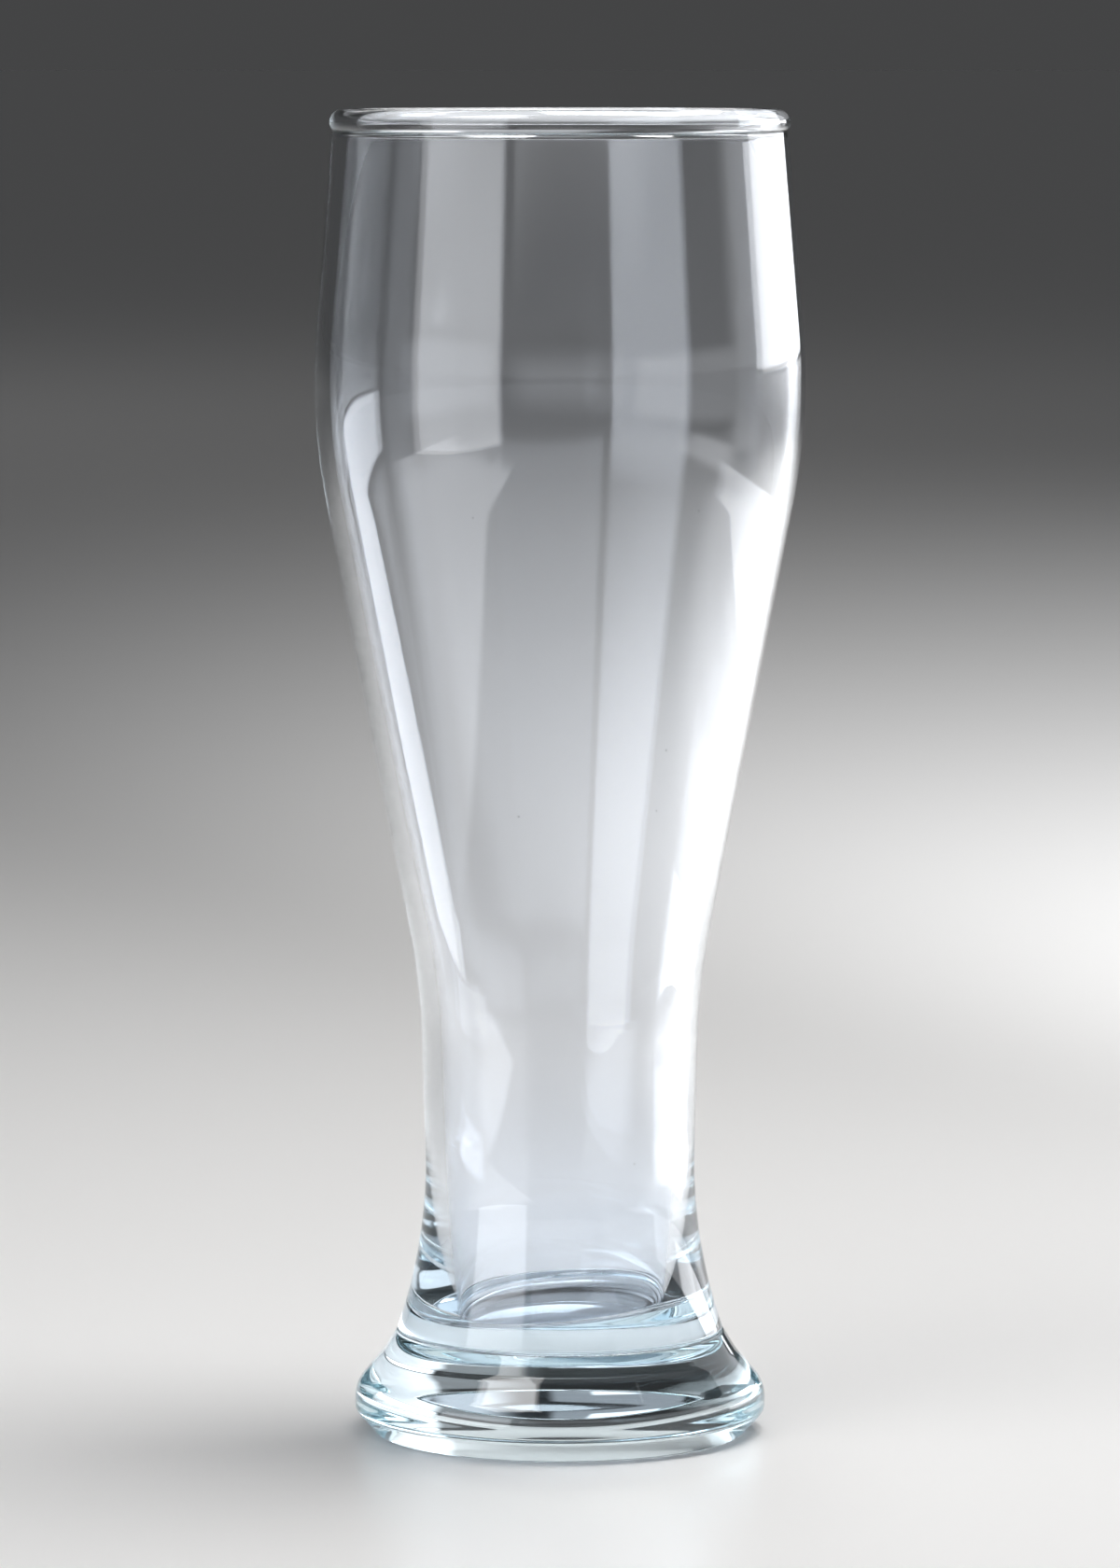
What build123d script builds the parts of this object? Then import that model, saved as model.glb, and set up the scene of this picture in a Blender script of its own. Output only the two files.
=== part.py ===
from build123d import *
import os
from math import atan2, radians, tan

# A tall wheat-beer glass: a blown bowl fused to a heavy pressed foot.
# Millimetres. +Z is up, and the origin is the centre of the ring that the glass stands on.

# Heights, stacked from the table up. The bowl's corners are those of its outline before they are rounded.
foot_height = 17.0         # table to the outer edge of the joint between foot and bowl
flare_length = 15.6        # joint to the lower end of the waist
waist_length = 42.2        # lower end of the waist to the start of the taper
taper_length = 94.8        # start of the taper to the shoulder
upper_length = 45.8        # shoulder to the neck under the rim bead

# Outside diameters of the bowl
joint_diameter = 54.5
waist_bottom_diameter = 44.1
waist_top_diameter = 46.3
shoulder_diameter = 82.8
neck_diameter = 75.1

# How round the bowl's corners are, as radii on the outside
flare_round = 92.0
waist_round = 120.0
shoulder_round = 104.0
joint_round = 0.5          # fire-softened edge on both sides of the joint

# Walls of the bowl, thicker towards the bottom
neck_wall = 2.5
shoulder_wall = 2.5
waist_top_wall = 3.2
waist_bottom_wall = 3.4
base_wall = 9.3            # under the floor: joint's edge in to where the cavity would meet the dome's level

# The rim is melted back into a bead that stands proud of the wall on both sides
bead_thickness = 4.4
bead_overhang = 0.4        # how far the bead stands out past the neck
bead_rise = 2.4            # neck to the middle of the bead
bead_blend = 1.0           # rounding between bead and wall

# The bowl's rounded bottom is sunk into a dish of the same shape on top of the foot
dome_depth = 3.0           # how far it reaches below the joint's edge, on the axis

# The bowl's inner floor is not level: the glass was left thicker towards one side
floor_thickness = 4.8      # bottom of the dome to the floor, on the axis
floor_tilt = 7.1           # degrees
floor_heading = -25.0      # degrees from +X towards +Y, the side where the floor is highest
floor_round = 2.0          # rounding from the floor up into the wall
inner_flare_round = 40.0   # rounding of the cavity where the waist ends

# Pressed foot
foot_diameter = 68.5
contact_diameter = 61.8    # outside of the ring that touches the table
punt_diameter = 51.0       # shallow hollow under the foot, inside the contact ring
punt_depth = 2.2
edge_bottom = 3.7          # table to the lower end of the foot's upright edge
edge_top = 7.7             # table to its upper end
ankle_diameter = 59.2      # where the slope under the joint breaks outwards
ankle_drop = 3.8           # joint to that break
contact_round = 0.6
edge_bottom_round = 1.8
edge_top_round = 5.4
ankle_round = 11.0

mouth_clearance = 5.0      # how far the cavity's cutter reaches past the rim
end_run_share = 0.92       # share of an outline's first or last run that a rounding may use


def fitted_radii(points, wanted):
    """The wanted corner radii, each limited to the runs beside it: most of an end run, half of a shared one."""
    runs = [Vector(*end) - Vector(*start) for start, end in zip(points, points[1:])]
    rooms = [run.length / 2 for run in runs]
    rooms[0] = runs[0].length * end_run_share
    rooms[-1] = runs[-1].length * end_run_share
    radii = []
    for index, radius in enumerate(wanted):
        run_in = runs[index]
        run_out = runs[index + 1]
        turn = abs(atan2(run_in.cross(run_out).Z, run_in.dot(run_out)))
        room = min(rooms[index], rooms[index + 1])
        radii.append(min(radius, room / tan(turn / 2)))
    return radii


# Levels worked out from the stacked heights
waist_bottom_level = foot_height + flare_length
waist_top_level = waist_bottom_level + waist_length
shoulder_level = waist_top_level + taper_length
neck_level = shoulder_level + upper_length
bead_level = neck_level + bead_rise
mouth_level = bead_level + bead_thickness / 2 + mouth_clearance
dome_level = foot_height - dome_depth
floor_level = dome_level + floor_thickness
ankle_level = foot_height - ankle_drop

# Both walls run straight on from the neck to the level of the bead's middle, where they end inside the bead
bead_radius = bead_thickness / 2
bead_centre_radius = neck_diameter / 2 + bead_overhang - bead_radius
wall_end_radius = neck_diameter / 2 + (neck_diameter - shoulder_diameter) / 2 / upper_length * bead_rise

# Corners of the bowl's outside and inside, as (radius, height), from the bottom up
outside = [
    (joint_diameter / 2, foot_height),
    (waist_bottom_diameter / 2, waist_bottom_level),
    (waist_top_diameter / 2, waist_top_level),
    (shoulder_diameter / 2, shoulder_level),
    (wall_end_radius, bead_level),
]
inside = [
    (joint_diameter / 2 - base_wall, dome_level),
    (waist_bottom_diameter / 2 - waist_bottom_wall, waist_bottom_level),
    (waist_top_diameter / 2 - waist_top_wall, waist_top_level),
    (shoulder_diameter / 2 - shoulder_wall, shoulder_level),
    (wall_end_radius - neck_wall, bead_level),
]

# Cavity of the bowl, only used to hollow it out. It ends below on the tilted floor and is open past the rim above.
with BuildPart() as cavity:
    with BuildSketch(Plane.XZ):
        with BuildLine():
            FilletPolyline(
                inside,
                radius=fitted_radii(inside, [inner_flare_round, waist_round, shoulder_round - shoulder_wall]),
            )
            Polyline(
                inside[-1],
                (inside[-1][0], mouth_level),
                (0, mouth_level),
                (0, dome_level),
                inside[0],
            )
        make_face()
    revolve(axis=Axis.Z)
    floor_normal = Vector(0, 0, 1).rotate(Axis.Y, -floor_tilt).rotate(Axis.Z, floor_heading)
    floor_plane = Plane((0, 0, floor_level), z_dir=floor_normal)
    split(bisect_by=floor_plane, keep=Keep.TOP)
    floor_edge = cavity.faces().sort_by(Axis.Z)[0].edges()
    # The rounding has to end below the curve at the lower end of the waist, also on the side where the floor is high
    floor_high_level = floor_level + inside[0][0] * tan(radians(floor_tilt))
    floor_room = (waist_bottom_level - floor_high_level) / 2
    fillet(floor_edge, radius=min(floor_round, floor_room))

# Blown bowl: everything above the joint, hollowed out, with the rim bead melted onto the end of its wall
with BuildPart() as bowl:
    with BuildSketch(Plane.XZ):
        with BuildLine():
            FilletPolyline(outside, radius=fitted_radii(outside, [flare_round, waist_round, shoulder_round]))
            Polyline(outside[-1], (0, bead_level), (0, dome_level))
            TangentArc((0, dome_level), outside[0], tangent=(1, 0))
        make_face()
    revolve(axis=Axis.Z)
    joint_edge = bowl.edges().filter_by(lambda edge: edge.is_closed).sort_by(Axis.Z)[0]
    fillet(joint_edge, radius=joint_round)
    add(cavity.part, mode=Mode.SUBTRACT)
    with BuildSketch(Plane.XZ):
        with Locations((bead_centre_radius, bead_level)):
            Circle(bead_radius)
    revolve(axis=Axis.Z)
    round_edges = bowl.edges().filter_by(GeomType.CIRCLE)
    under_bead = round_edges.filter_by_position(Axis.Z, bead_level - bead_radius, bead_level, (False, False))
    fillet(under_bead, radius=bead_blend)
bowl.part.label = "bowl"

# Pressed foot: a flat ring to stand on, a shallow hollow inside it, a slope up to the joint, and the bowl's dish
foot_side = [
    (punt_diameter / 2, 0),
    (contact_diameter / 2, 0),
    (foot_diameter / 2, edge_bottom),
    (foot_diameter / 2, edge_top),
    (ankle_diameter / 2, ankle_level),
    (joint_diameter / 2, foot_height),
]
with BuildPart() as foot:
    with BuildSketch(Plane.XZ):
        with BuildLine():
            foot_radii = [contact_round, edge_bottom_round, edge_top_round, ankle_round]
            FilletPolyline(foot_side, radius=fitted_radii(foot_side, foot_radii))
            TangentArc((0, dome_level), foot_side[-1], tangent=(1, 0))
            Line((0, dome_level), (0, punt_depth))
            TangentArc((0, punt_depth), foot_side[0], tangent=(1, 0))
        make_face()
    revolve(axis=Axis.Z)
    joint_edge = foot.edges().filter_by(lambda edge: edge.is_closed).sort_by(Axis.Z)[-1]
    fillet(joint_edge, radius=joint_round)
foot.part.label = "foot"

os.makedirs("parts", exist_ok=True)
export_step(bowl.part, "parts/bowl.step")
export_step(foot.part, "parts/foot.step")
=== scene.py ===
import math

import bpy
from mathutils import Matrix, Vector


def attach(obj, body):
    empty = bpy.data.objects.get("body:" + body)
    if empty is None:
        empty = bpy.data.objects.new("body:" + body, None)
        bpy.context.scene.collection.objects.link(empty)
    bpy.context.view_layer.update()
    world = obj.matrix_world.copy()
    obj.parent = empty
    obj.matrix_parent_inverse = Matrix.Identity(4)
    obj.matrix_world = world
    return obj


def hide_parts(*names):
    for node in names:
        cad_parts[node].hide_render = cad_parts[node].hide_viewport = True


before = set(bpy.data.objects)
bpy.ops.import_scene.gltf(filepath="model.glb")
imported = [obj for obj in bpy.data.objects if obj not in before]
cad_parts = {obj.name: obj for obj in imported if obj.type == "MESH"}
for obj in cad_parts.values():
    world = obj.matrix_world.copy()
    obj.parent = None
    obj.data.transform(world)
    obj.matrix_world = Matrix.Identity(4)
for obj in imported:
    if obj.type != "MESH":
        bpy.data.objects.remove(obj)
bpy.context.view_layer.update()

# A clear wheat-beer glass on a pale table. The outlines below are those of the CAD solids,
# in millimetres, as (radius, height); meshes, lamps and the camera are in metres.
MM = 0.001

# Heights, stacked from the table up
FOOT_HEIGHT = 17.0
FLARE_LENGTH = 15.6
WAIST_LENGTH = 42.2
TAPER_LENGTH = 94.8
UPPER_LENGTH = 45.8
BEAD_RISE = 2.4

# Outside radii and roundings of the bowl
JOINT_RADIUS = 27.25
WAIST_BOTTOM_RADIUS = 22.05
WAIST_TOP_RADIUS = 23.15
SHOULDER_RADIUS = 41.4
NECK_RADIUS = 37.55
JOINT_ROUND = 0.5
FLARE_ROUND = 86.0        # what the flare's length leaves of the CAD's 92
WAIST_ROUND = 120.0
SHOULDER_ROUND = 104.0

# Walls, inner floor and rim bead of the bowl
NECK_WALL = 2.5
SHOULDER_WALL = 2.5
WAIST_TOP_WALL = 3.2
WAIST_BOTTOM_WALL = 3.4
BASE_WALL = 9.3
DOME_DEPTH = 3.0          # the bowl's rounded bottom, sunk into the foot
FLOOR_THICKNESS = 4.8
FLOOR_TILT = math.radians(7.1)
FLOOR_HEADING = math.radians(-25.0)
FLOOR_ROUND = 2.0
INNER_FLARE_ROUND = 40.0
BEAD_RADIUS = 2.2
BEAD_OVERHANG = 0.4
BEAD_BLEND = 1.0

# Pressed foot
FOOT_RADIUS = 34.25
CONTACT_RADIUS = 30.9
PUNT_RADIUS = 25.5
PUNT_DEPTH = 2.2
EDGE_BOTTOM = 3.7
EDGE_TOP = 7.7
ANKLE_RADIUS = 29.6
ANKLE_DROP = 3.8
CONTACT_ROUND = 0.6
EDGE_BOTTOM_ROUND = 1.8
EDGE_TOP_ROUND = 5.4
ANKLE_ROUND = 11.0
JOINT_SLIT = 0.02         # air left between the two fused faces, so that they don't lie on each other

# A face is fused if it lies this close to the dome's sphere and turns away from it by less than this
FUSED_REACH = 0.01
FUSED_TURN = math.radians(0.8)

# Fineness of the meshes
SEGMENTS = 256            # round the axis
ARC_STEPS = 20            # along each rounding of an outline
BEAD_STEPS = 64           # along the rim bead
SUPPORT = 0.6             # how far inside a straight run's ends its extra points lie,
SUPPORT_SHARE = 0.25      # but no further than this share of the run

# Levels worked out from the stacked heights
WAIST_BOTTOM_LEVEL = FOOT_HEIGHT + FLARE_LENGTH
WAIST_TOP_LEVEL = WAIST_BOTTOM_LEVEL + WAIST_LENGTH
SHOULDER_LEVEL = WAIST_TOP_LEVEL + TAPER_LENGTH
NECK_LEVEL = SHOULDER_LEVEL + UPPER_LENGTH
BEAD_LEVEL = NECK_LEVEL + BEAD_RISE
DOME_LEVEL = FOOT_HEIGHT - DOME_DEPTH
FLOOR_LEVEL = DOME_LEVEL + FLOOR_THICKNESS
BEAD_CENTRE = Vector((NECK_RADIUS + BEAD_OVERHANG - BEAD_RADIUS, BEAD_LEVEL))
WALL_END_RADIUS = NECK_RADIUS + (NECK_RADIUS - SHOULDER_RADIUS) / UPPER_LENGTH * BEAD_RISE


# Outlines

def arc(centre, start, end, clockwise, steps=ARC_STEPS):
    """Points from start to end round the centre, both ends included."""
    first = math.atan2(start.y - centre.y, start.x - centre.x)
    last = math.atan2(end.y - centre.y, end.x - centre.x)
    turn = (first - last) % math.tau if clockwise else -((last - first) % math.tau)
    radius = (start - centre).length
    angles = [first - turn * i / steps for i in range(steps + 1)]
    return [centre + radius * Vector((math.cos(t), math.sin(t))) for t in angles]


def straight(start, end):
    """Two points near the ends of a straight run, which keep smooth shading true there."""
    inset = (end - start) * min(SUPPORT_SHARE, SUPPORT / (end - start).length)
    return [start + inset, end - inset]


def rounded(corners, radii):
    """Points along a line of corners, each inner one rounded to its radius."""
    corners = [Vector(corner) for corner in corners]
    points = [corners[0]]
    for before, corner, after, radius in zip(corners, corners[1:], corners[2:], radii):
        back = (before - corner).normalized()
        on = (after - corner).normalized()
        half_turn = (math.pi - back.angle(on)) / 2
        reach = radius * math.tan(half_turn)
        centre = corner + (back + on).normalized() * radius / math.cos(half_turn)
        clockwise = back.x * on.y - back.y * on.x > 0
        bend = arc(centre, corner + back * reach, corner + on * reach, clockwise)
        points += straight(points[-1], bend[0]) + bend
    return points + straight(points[-1], corners[-1]) + [corners[-1]]


def bead_blend(below, end, side):
    """Centre and ends of the arc between the bead and a wall that runs up from below to end.

    The side points away from the wall, to where the arc's centre lies.
    """
    up = (end - below).normalized()
    offset = end + side * BEAD_BLEND - BEAD_CENTRE
    along = offset.dot(up)
    reach = BEAD_RADIUS + BEAD_BLEND
    rise = -along - math.sqrt(along ** 2 - offset.length_squared + reach ** 2)
    on_wall = end + up * rise
    centre = on_wall + side * BEAD_BLEND
    on_bead = BEAD_CENTRE + (centre - BEAD_CENTRE) * BEAD_RADIUS / reach
    return centre, on_wall, on_bead


def cap_centre(radius, axis_level, edge_level):
    """Centre of the sphere that a round cap is part of."""
    rise = edge_level - axis_level
    return Vector((0, axis_level + (radius ** 2 + rise ** 2) / (2 * rise)))


def cap(radius, axis_level, edge_level):
    """Points along a round cap's section, from its middle on the axis out to its edge."""
    centre = cap_centre(radius, axis_level, edge_level)
    middle = Vector((0, axis_level))
    edge = Vector((radius, edge_level))
    return arc(centre, middle, edge, clockwise=edge_level < axis_level)


def bowl_outline(azimuth):
    """The bowl's closed outline at an azimuth: dome, outside, bead, inside, floor."""
    shoulder = Vector((SHOULDER_RADIUS, SHOULDER_LEVEL))
    wall_end = Vector((WALL_END_RADIUS, BEAD_LEVEL))
    up = (wall_end - shoulder).normalized()
    centre, on_wall, on_bead = bead_blend(shoulder, wall_end, Vector((up.y, -up.x)))
    dome = cap(JOINT_RADIUS, DOME_LEVEL, FOOT_HEIGHT)
    outside = dome[:-2] + rounded(
        [*dome[-2:], (WAIST_BOTTOM_RADIUS, WAIST_BOTTOM_LEVEL), (WAIST_TOP_RADIUS, WAIST_TOP_LEVEL),
         shoulder, on_wall],
        [JOINT_ROUND, FLARE_ROUND, WAIST_ROUND, SHOULDER_ROUND],
    )
    outside += arc(centre, on_wall, on_bead, clockwise=True)[1:]

    inner_shoulder = Vector((SHOULDER_RADIUS - SHOULDER_WALL, SHOULDER_LEVEL))
    inner_end = Vector((WALL_END_RADIUS - NECK_WALL, BEAD_LEVEL))
    up = (inner_end - inner_shoulder).normalized()
    centre, inner_on_wall, inner_on_bead = bead_blend(inner_shoulder, inner_end, Vector((-up.y, up.x)))
    rim = arc(BEAD_CENTRE, on_bead, inner_on_bead, clockwise=False, steps=BEAD_STEPS)[1:]
    rim += arc(centre, inner_on_bead, inner_on_wall, clockwise=True)[1:]

    base = Vector((JOINT_RADIUS - BASE_WALL, DOME_LEVEL))
    waist_bottom = Vector((WAIST_BOTTOM_RADIUS - WAIST_BOTTOM_WALL, WAIST_BOTTOM_LEVEL))
    slope = math.tan(FLOOR_TILT) * math.cos(azimuth - FLOOR_HEADING)
    wall_run = waist_bottom - base
    share = (FLOOR_LEVEL + slope * base.x - base.y) / (wall_run.y - slope * wall_run.x)
    inside = rounded(
        [inner_on_wall, inner_shoulder, (WAIST_TOP_RADIUS - WAIST_TOP_WALL, WAIST_TOP_LEVEL),
         waist_bottom, base + wall_run * share, (0, FLOOR_LEVEL)],
        [SHOULDER_ROUND - SHOULDER_WALL, WAIST_ROUND, INNER_FLARE_ROUND, FLOOR_ROUND],
    )
    return outside + rim + inside[1:]


def foot_outline(azimuth):
    """The foot's closed outline, the same at every azimuth: hollow, contact ring, edge, slope, dish."""
    punt = cap(PUNT_RADIUS, PUNT_DEPTH, 0)
    dish = cap(JOINT_RADIUS, DOME_LEVEL - JOINT_SLIT, FOOT_HEIGHT - JOINT_SLIT)[::-1]
    side = rounded(
        [punt[-1], (CONTACT_RADIUS, 0), (FOOT_RADIUS, EDGE_BOTTOM), (FOOT_RADIUS, EDGE_TOP),
         (ANKLE_RADIUS, FOOT_HEIGHT - ANKLE_DROP), *dish[:2]],
        [CONTACT_ROUND, EDGE_BOTTOM_ROUND, EDGE_TOP_ROUND, ANKLE_ROUND, JOINT_ROUND],
    )
    return punt + side[1:] + dish[2:]


def lathe(name, outline_at):
    """A closed mesh from an outline that starts and ends on the axis and may change with the azimuth."""
    outlines = [outline_at(math.tau * i / SEGMENTS) for i in range(SEGMENTS)]
    count = len(outlines[0]) - 2
    vertices = []
    for i, outline in enumerate(outlines):
        turn = math.tau * i / SEGMENTS
        for point in outline[1:-1]:
            vertices.append((point.x * math.cos(turn) * MM, point.x * math.sin(turn) * MM, point.y * MM))
    first, last = len(vertices), len(vertices) + 1
    vertices += [(0, 0, outlines[0][0].y * MM), (0, 0, outlines[0][-1].y * MM)]
    faces = []
    for i in range(SEGMENTS):
        here, there = i * count, (i + 1) % SEGMENTS * count
        faces.append((first, there, here))
        for k in range(count - 1):
            faces.append((here + k, there + k, there + k + 1, here + k + 1))
        faces.append((here + count - 1, there + count - 1, last))
    mesh = bpy.data.meshes.new(name)
    mesh.from_pydata(vertices, [], faces)
    mesh.validate()
    mesh.shade_smooth()
    obj = bpy.data.objects.new(name, mesh)
    bpy.context.scene.collection.objects.link(obj)
    return obj


def mark_fused(obj, drop):
    """Marks the faces of dome or dish, where bowl and foot are one piece of glass.

    The dish lies lower than the dome by the drop.
    """
    fused = obj.data.attributes.new("fused", "FLOAT", "FACE")
    middle = cap_centre(JOINT_RADIUS, DOME_LEVEL - drop, FOOT_HEIGHT - drop)
    centre = Vector((0, 0, middle.y * MM))
    sphere = (middle.y - DOME_LEVEL + drop) * MM
    for face in obj.data.polygons:
        spoke = face.center - centre
        on_sphere = abs(spoke.length - sphere) < FUSED_REACH * MM
        along = abs(face.normal.dot(spoke.normalized())) > math.cos(FUSED_TURN)
        fused.data[face.index].value = 1.0 if on_sphere and along else 0.0


# Materials

GLASS_INDEX = 1.52
GLASS_COLOUR = (0.948, 0.96, 0.983, 1.0)
LOW_COLOUR = (0.85, 0.882, 0.93, 1.0)
TINT_START = 65.0         # the bowl's colour deepens from this level down to the flare
GLASS_TINT = (0.6, 0.88, 0.92, 1.0)
GLASS_DENSITY = 6.0       # of the tint, per metre of glass
RIPPLE_SCALE = 45.0       # waves per metre, roughly
RIPPLE_STRETCH = 0.2      # the ripple is drawn out along the axis
RIPPLE_DETAIL = 1.0
RIPPLE_DEPTH = 2.5e-5     # metres
RIPPLE_END = 8.0          # the ripple dies out over this length under the rim bead
HAZE_SCALE = 30.0
HAZE_DETAIL = 4.0
HAZE_START = 0.5          # values of the noise between which the haze sets in
HAZE_FULL = 0.8
HAZE_ROUGHNESS = 0.02
SPECK_SCALE = 80.0        # specks per metre, roughly
SPECK_RADIUS = 0.0002     # metres
SPECK_CORE = 0.7          # share of the radius that has the speck's full colour
SPECK_COLOUR = (0.25, 0.27, 0.28, 1.0)


def empty_tree(owner):
    """The node tree of a material, lamp or world, with no nodes in it."""
    owner.use_nodes = True
    owner.node_tree.nodes.clear()
    return owner.node_tree


def feed(tree, socket, value):
    """Sets a node's input, or links it if the value is another node's output."""
    if isinstance(value, bpy.types.NodeSocket):
        tree.links.new(value, socket)
    else:
        socket.default_value = value


def node(tree, kind, **inputs):
    """A new node with its inputs set or linked by name."""
    made = tree.nodes.new(kind)
    for key, value in inputs.items():
        feed(tree, made.inputs[key.replace("_", " ")], value)
    return made


def ramp(tree, value, start=0.0, end=1.0, low=0.0, high=1.0, smooth=False):
    """A value that goes from low to high while the given one goes from start to end."""
    made = node(
        tree, "ShaderNodeMapRange", Value=value,
        From_Min=start, From_Max=end, To_Min=low, To_Max=high,
    )
    if smooth:
        made.interpolation_type = "SMOOTHSTEP"
    return made.outputs["Result"]


def mixed(tree, factor, first, second):
    """A colour that goes from the first to the second while the factor goes from 0 to 1."""
    made = tree.nodes.new("ShaderNodeMix")
    made.data_type = "RGBA"
    for key, value in (("Factor", factor), ("A", first), ("B", second)):
        feed(tree, made.inputs[key], value)
    return made.outputs["Result"]


def ripple(tree, place, height):
    """The slow waves that hot working leaves in the surface, as a normal. They die out under the rim."""
    drawn = node(tree, "ShaderNodeMapping", Vector=place, Scale=(1.0, 1.0, RIPPLE_STRETCH))
    waves = node(
        tree, "ShaderNodeTexNoise", Vector=drawn.outputs["Vector"],
        Scale=RIPPLE_SCALE, Detail=RIPPLE_DETAIL,
    )
    strength = ramp(tree, height, (NECK_LEVEL - RIPPLE_END) * MM, NECK_LEVEL * MM, low=1.0, high=0.0)
    bump = node(
        tree, "ShaderNodeBump", Height=waves.outputs["Fac"],
        Distance=RIPPLE_DEPTH, Strength=strength,
    )
    return bump.outputs["Normal"]


def haze(tree, place):
    """Hazy patches from use, as a roughness."""
    patches = node(tree, "ShaderNodeTexNoise", Vector=place, Scale=HAZE_SCALE, Detail=HAZE_DETAIL)
    return ramp(tree, patches.outputs["Fac"], HAZE_START, HAZE_FULL, high=HAZE_ROUGHNESS)


def tint(tree, place, height, low_colour):
    """The surface's colour: darker and bluer low down in the bowl, with a few dark specks."""
    lower = ramp(tree, height, TINT_START * MM, WAIST_BOTTOM_LEVEL * MM)
    clean = mixed(tree, lower, GLASS_COLOUR, low_colour)
    specks = node(tree, "ShaderNodeTexVoronoi", Vector=place, Scale=SPECK_SCALE)
    radius = SPECK_RADIUS * SPECK_SCALE
    beside_speck = ramp(tree, specks.outputs["Distance"], radius * SPECK_CORE, radius)
    return mixed(tree, beside_speck, SPECK_COLOUR, clean)


def glass(name, seed, low_colour):
    """Clear glass that doesn't refract where bowl and foot are fused. The seed shifts its patterns."""
    material = bpy.data.materials.new(name)
    tree = empty_tree(material)
    place = node(tree, "ShaderNodeTexCoord").outputs["Object"]
    height = node(tree, "ShaderNodeSeparateXYZ", Vector=place).outputs["Z"]
    moved = node(tree, "ShaderNodeMapping", Vector=place, Location=(seed, seed, seed)).outputs["Vector"]
    surface = node(
        tree, "ShaderNodeBsdfPrincipled", IOR=GLASS_INDEX, Transmission_Weight=1.0,
        Base_Color=tint(tree, moved, height, low_colour),
        Roughness=haze(tree, moved),
        Normal=ripple(tree, moved, height),
    )
    fused = tree.nodes.new("ShaderNodeAttribute")
    fused.attribute_name = "fused"
    feed(tree, surface.inputs["IOR"], ramp(tree, fused.outputs["Fac"], low=GLASS_INDEX, high=1.0))
    inside = node(tree, "ShaderNodeVolumeAbsorption", Color=GLASS_TINT, Density=GLASS_DENSITY)
    node(
        tree, "ShaderNodeOutputMaterial",
        Surface=surface.outputs["BSDF"], Volume=inside.outputs["Volume"],
    )
    return material


# Pieces

def make_piece(name, node_name, outline_at, drop, material):
    piece = lathe(name, outline_at)
    mark_fused(piece, drop)
    piece.data.materials.append(material)
    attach(piece, "root")
    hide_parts(node_name)


bowl_glass = glass("bowl_glass", seed=0.0, low_colour=LOW_COLOUR)
make_piece("glass_bowl", "bowl", bowl_outline, drop=0, material=bowl_glass)
foot_glass = glass("foot_glass", seed=5.0, low_colour=GLASS_COLOUR)
make_piece("glass_foot", "foot", foot_outline, drop=JOINT_SLIT, material=foot_glass)


# Stage: a pale table under soft studio light, in metres

TABLE_RADIUS = 200.0
TABLE_CORNERS = 96
TABLE_GAP = 0.00005       # air under the glass's contact ring
TABLE_COLOUR = (0.8, 0.8, 0.8, 1.0)
TABLE_ROUGHNESS = 0.28
TABLE_SPECULAR = 0.2

DAYLIGHT = (0.94, 0.96, 1.0)
TOP_COLOUR = (1.0, 0.99, 0.98)
SOFT_EDGES = (0.08, 0.08)   # shares of a lamp's width and height over which its edges fade
CARD_HEIGHT = 0.005       # of the bright cards above the table
SPOT_RADIUS = 0.05

# The room's glow. Each fade says at which height of a direction, 0 at the horizon and 1 overhead,
# a glow is still full and at which it is gone.
ROOM_COLOUR = (0.97, 0.98, 1.0, 1.0)
DARK = 0.03
HORIZON_GLOW = 0.06
HORIZON_FADE = (0.05, 0.25)
FRONT_GLOW = 0.5
FRONT_FADE = (0.34, 0.6)
FRONT_SIDE = (0.35, -0.94, 0.0)   # where the front glow is strongest
FRONT_SPREAD = (0.5, -0.7)        # cosines of the angles from there at which it is full and gone


def make_table():
    """A wide round table top of pale satin paper."""
    mesh = bpy.data.meshes.new("table")
    turns = [math.tau * i / TABLE_CORNERS for i in range(TABLE_CORNERS)]
    rim = [(TABLE_RADIUS * math.cos(t), TABLE_RADIUS * math.sin(t), -TABLE_GAP) for t in turns]
    mesh.from_pydata(rim, [], [list(range(TABLE_CORNERS))])
    material = bpy.data.materials.new("table")
    tree = empty_tree(material)
    surface = node(
        tree, "ShaderNodeBsdfPrincipled", Base_Color=TABLE_COLOUR,
        Roughness=TABLE_ROUGHNESS, Specular_IOR_Level=TABLE_SPECULAR,
    )
    node(tree, "ShaderNodeOutputMaterial", Surface=surface.outputs["BSDF"])
    mesh.materials.append(material)
    table = bpy.data.objects.new("table", mesh)
    bpy.context.scene.collection.objects.link(table)


def fade(tree, value, start, end):
    """A value that falls smoothly from 1 to 0 while the given one goes from start to end."""
    return ramp(tree, value, start, end, low=1.0, high=0.0, smooth=True)


def maths(tree, operation, *values):
    """The result of a calculation with values or with other nodes' outputs."""
    made = tree.nodes.new("ShaderNodeMath")
    made.operation = operation
    for value, socket in zip(values, made.inputs):
        feed(tree, socket, value)
    return made.outputs["Value"]


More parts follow.
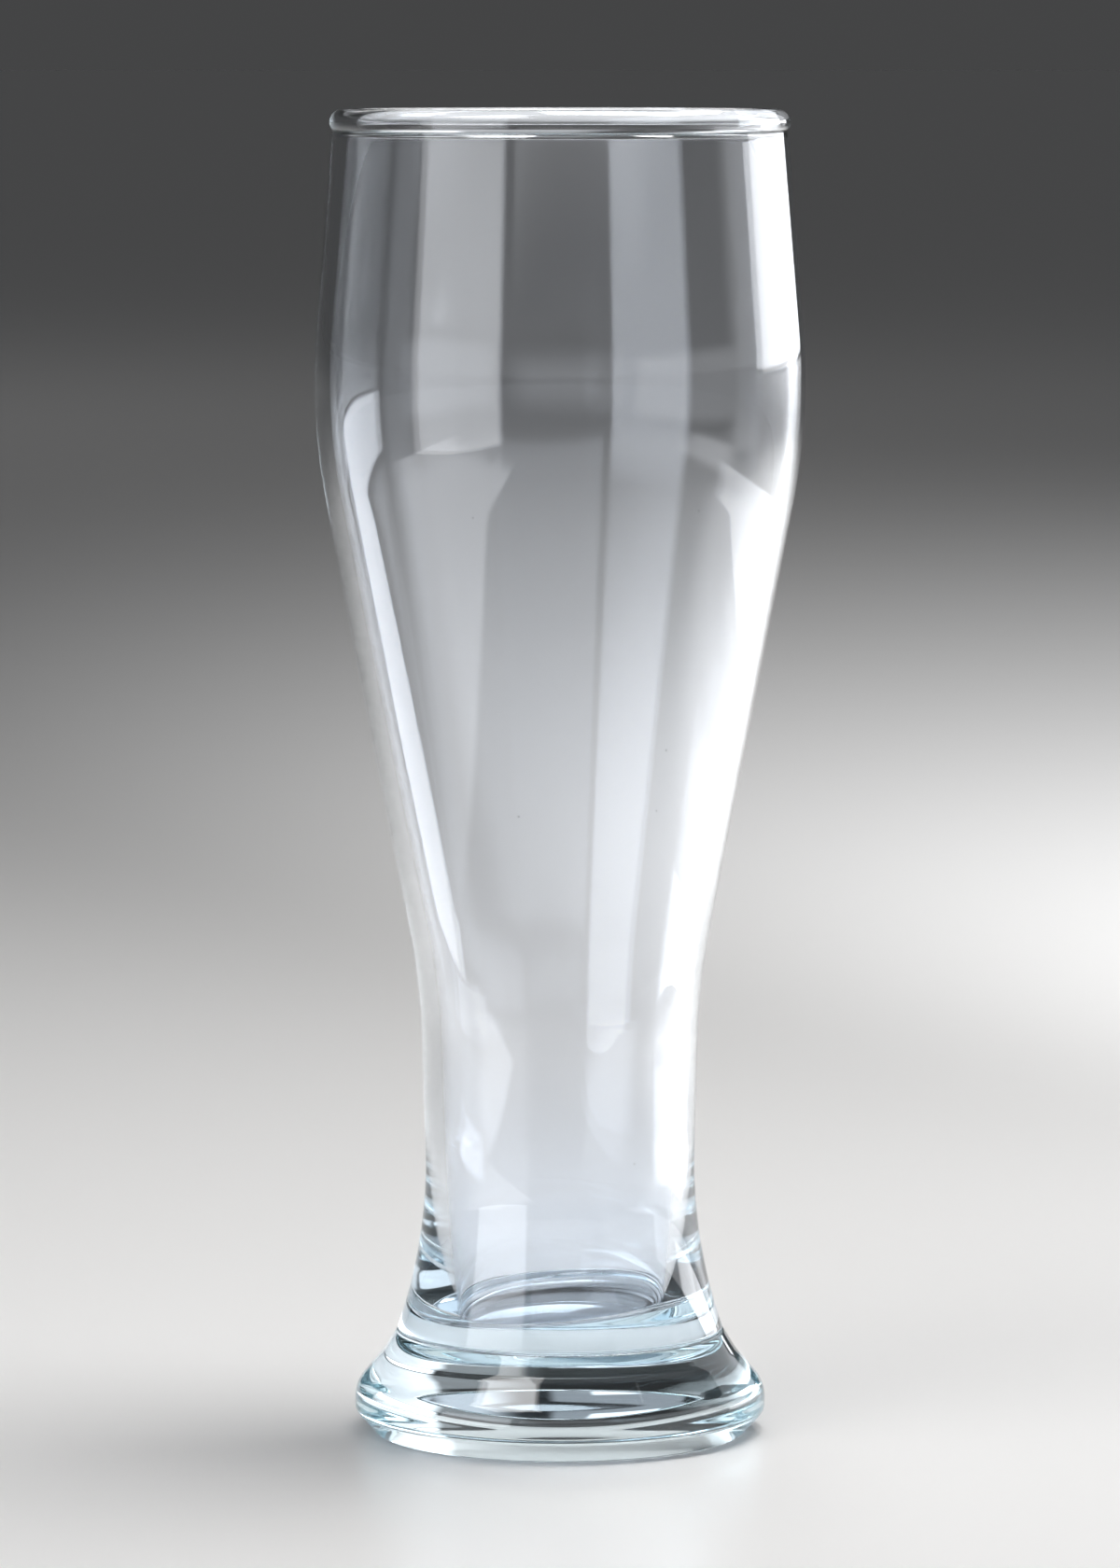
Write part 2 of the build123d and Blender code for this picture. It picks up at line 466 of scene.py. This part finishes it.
def make_room():
    """A dark room with a dim glow along the horizon and a brighter one at the front."""
    world = bpy.data.worlds.new("room")
    tree = empty_tree(world)
    direction = node(tree, "ShaderNodeTexCoord").outputs["Generated"]
    height = node(tree, "ShaderNodeSeparateXYZ", Vector=direction).outputs["Z"]
    towards = tree.nodes.new("ShaderNodeVectorMath")
    towards.operation = "DOT_PRODUCT"
    for value, socket in zip((direction, FRONT_SIDE), towards.inputs):
        feed(tree, socket, value)
    spread = fade(tree, towards.outputs["Value"], *FRONT_SPREAD)
    front = maths(tree, "MULTIPLY", spread, fade(tree, height, *FRONT_FADE))
    horizon = ramp(tree, fade(tree, height, *HORIZON_FADE), low=DARK, high=HORIZON_GLOW)
    glow = maths(tree, "MULTIPLY_ADD", front, FRONT_GLOW, horizon)
    light = node(tree, "ShaderNodeBackground", Color=ROOM_COLOUR, Strength=glow)
    node(tree, "ShaderNodeOutputWorld", Surface=light.outputs["Background"])
    bpy.context.scene.world = world


def soften(light, edges):
    """Fades a lamp out towards its edges, over a share of its width and of its height."""
    tree = empty_tree(light)
    across = node(tree, "ShaderNodeNewGeometry").outputs["Parametric"]
    place = node(tree, "ShaderNodeSeparateXYZ", Vector=across)
    strength = 1.0
    for axis, edge in zip("XY", edges):
        strength = maths(tree, "MULTIPLY", strength, fade(tree, place.outputs[axis], edge, 0.0))
        strength = maths(tree, "MULTIPLY", strength, fade(tree, place.outputs[axis], 1.0 - edge, 1.0))
    shine = node(tree, "ShaderNodeEmission", Strength=strength)
    node(tree, "ShaderNodeOutputLight", Surface=shine.outputs["Emission"])


def panel(name, place, turn, size, radiance, colour, edges=SOFT_EDGES, on_table=True):
    """A rectangular lamp that shines along its own -Z, out of the camera's sight.

    Without on_table it shows in the glass but doesn't light the table.
    """
    light = bpy.data.lights.new(name, "AREA")
    light.shape = "RECTANGLE"
    light.size, light.size_y = size
    light.energy = radiance * math.pi * size[0] * size[1]
    light.color = colour
    soften(light, edges)
    lamp = bpy.data.objects.new(name, light)
    lamp.location = place
    lamp.rotation_euler = turn
    lamp.visible_camera = False
    lamp.visible_diffuse = on_table
    bpy.context.scene.collection.objects.link(lamp)


def softbox(name, azimuths, heights, distance, radiance, edges=SOFT_EDGES, on_table=False):
    """An upright panel that faces the glass's axis, between two azimuths and two heights.

    Azimuths are in degrees from the camera's side, positive to the right.
    """
    middle = sum(azimuths) / 2
    turn = math.radians(middle)
    width = 2 * distance * math.tan(math.radians(azimuths[1] - azimuths[0]) / 2)
    place = (math.sin(turn) * distance, -math.cos(turn) * distance, sum(heights) / 2)
    size = (width, heights[1] - heights[0])
    panel(name, place, (math.pi / 2, 0, turn), size, radiance, DAYLIGHT, edges, on_table)


def floor_card(name, low, high, radiance, edges):
    """A bright card that lies on the table between two corners and shines up at the glass."""
    place = ((low[0] + high[0]) / 2, (low[1] + high[1]) / 2, CARD_HEIGHT)
    size = (high[0] - low[0], high[1] - low[1])
    panel(name, place, (math.pi, 0, 0), size, radiance, DAYLIGHT, edges)


def overhead(name, place, size, radiance):
    """A square panel that faces straight down."""
    panel(name, place, (0, 0, 0), (size, size), radiance, TOP_COLOUR)


def background_light(place, aim, cone, watts):
    """A soft pool of light on the table behind the glass, which it doesn't touch."""
    light = bpy.data.lights.new("background_light", "SPOT")
    light.energy = watts
    light.spot_size = math.radians(cone)
    light.spot_blend = 1.0
    light.shadow_soft_size = SPOT_RADIUS
    lamp = bpy.data.objects.new("background_light", light)
    lamp.location = place
    lamp.rotation_euler = (Vector(aim) - Vector(place)).to_track_quat("-Z", "Y").to_euler()
    bpy.context.scene.collection.objects.link(lamp)


make_table()
make_room()

# Light on the table: bright round the glass and behind it on the right, dim far away
overhead("top_light", place=(0.28, 0.17, 1.0), size=0.7, radiance=9.8)
overhead("fill_light", place=(-0.3, -0.3, 0.7), size=0.4, radiance=5.0)
overhead("far_light", place=(-0.8, 3.4, 1.8), size=1.0, radiance=1.3)
background_light(place=(0.9, -1.3, 1.2), aim=(0.5, 0.95, 0.0), cone=28, watts=640)

# On the left, a window gives the bowl its two long bands, the part above it lights the foot's slope,
# and the bright floor under it gives the taper its wedge
softbox("window_left_front", azimuths=(-73, -26), heights=(-0.2, 0.5), distance=0.75, radiance=3.4,
        edges=(0.08, 0.3))
softbox("window_left_high", azimuths=(-73, -26), heights=(1.0, 4.0), distance=0.75, radiance=5.0)
floor_card("card_left_front", low=(-0.75, -0.62), high=(-0.205, 0.02), radiance=1.6, edges=(0.04, 0.3))

# In front, dim windows lift the middle of the bowl
softbox("window_front", azimuths=(-25, 35), heights=(0.0, 0.3), distance=1.14, radiance=0.5,
        edges=(0.25, 0.45))
softbox("window_front_high", azimuths=(-24, 38), heights=(0.4, 0.8), distance=1.5, radiance=1.1,
        edges=(0.05, 0.25))
softbox("window_side_high", azimuths=(36, 98), heights=(0.4, 0.8), distance=1.5, radiance=0.9,
        edges=(0.05, 0.25))
softbox("window_front_right", azimuths=(30, 95), heights=(0.0, 0.27), distance=1.14, radiance=0.9,
        edges=(0.2, 0.2))

# On the right, a far window and near cards give the bowl and the waist their white edge
softbox("window_right_back", azimuths=(108, 157), heights=(0.0, 1.0), distance=8.0, radiance=5.0)
softbox("window_right_back_high", azimuths=(108, 157), heights=(1.0, 5.0), distance=8.0, radiance=1.1)
softbox("panel_right", azimuths=(84, 110), heights=(0.08, 0.28), distance=0.45, radiance=0.8,
        edges=(0.25, 0.1), on_table=True)
softbox("card_right", azimuths=(82, 128), heights=(0.02, 0.07), distance=0.42, radiance=2.0,
        on_table=True)
floor_card("card_right_near", low=(0.13, 0.0), high=(0.36, 0.22), radiance=5.5, edges=(0.2, 0.2))
floor_card("card_right_outer", low=(0.6, -0.5), high=(1.0, 0.1), radiance=1.4, edges=(0.3, 0.3))
floor_card("card_right_far", low=(0.25, -0.15), high=(0.6, 0.3), radiance=1.2, edges=(0.3, 0.3))

# Behind, dim walls show through the foot and the rim
softbox("wall_back_foot", azimuths=(140, 178), heights=(0.36, 1.0), distance=2.6, radiance=0.3,
        edges=(0.3, 0.08))
softbox("wall_back_right", azimuths=(140, 173), heights=(1.0, 2.0), distance=2.6, radiance=0.9,
        edges=(0.35, 0.08))
softbox("wall_back_low", azimuths=(177, 215), heights=(1.0, 2.0), distance=2.6, radiance=0.4)
softbox("wall_back_high", azimuths=(160, 215), heights=(2.0, 6.0), distance=2.6, radiance=0.45)

bpy.context.scene.view_settings.view_transform = "Standard"

# Light is followed far enough to get out of the thick foot again
cycles = bpy.context.scene.cycles
cycles.max_bounces = 40
cycles.transmission_bounces = 40
cycles.glossy_bounces = 24
cycles.sample_clamp_indirect = 6.0

# Camera, found from the photograph's rim and foot ellipses
PHOTO_HEIGHT = 1680
FOCAL_PIXELS = 8040
SENSOR_SIZE = 36.0        # millimetres, along the photograph's height
CAMERA_PITCH = math.radians(5.5)
CAMERA_DISTANCE = 1.2403
CAMERA_HEIGHT = 0.22775

camera = bpy.data.cameras.new("camera")
camera.sensor_width = SENSOR_SIZE
camera.lens = SENSOR_SIZE * FOCAL_PIXELS / PHOTO_HEIGHT
viewer = bpy.data.objects.new("camera", camera)
viewer.location = (0, -CAMERA_DISTANCE, CAMERA_HEIGHT)
viewer.rotation_euler = (math.pi / 2 - CAMERA_PITCH, 0, 0)
bpy.context.scene.collection.objects.link(viewer)
bpy.context.scene.camera = viewer
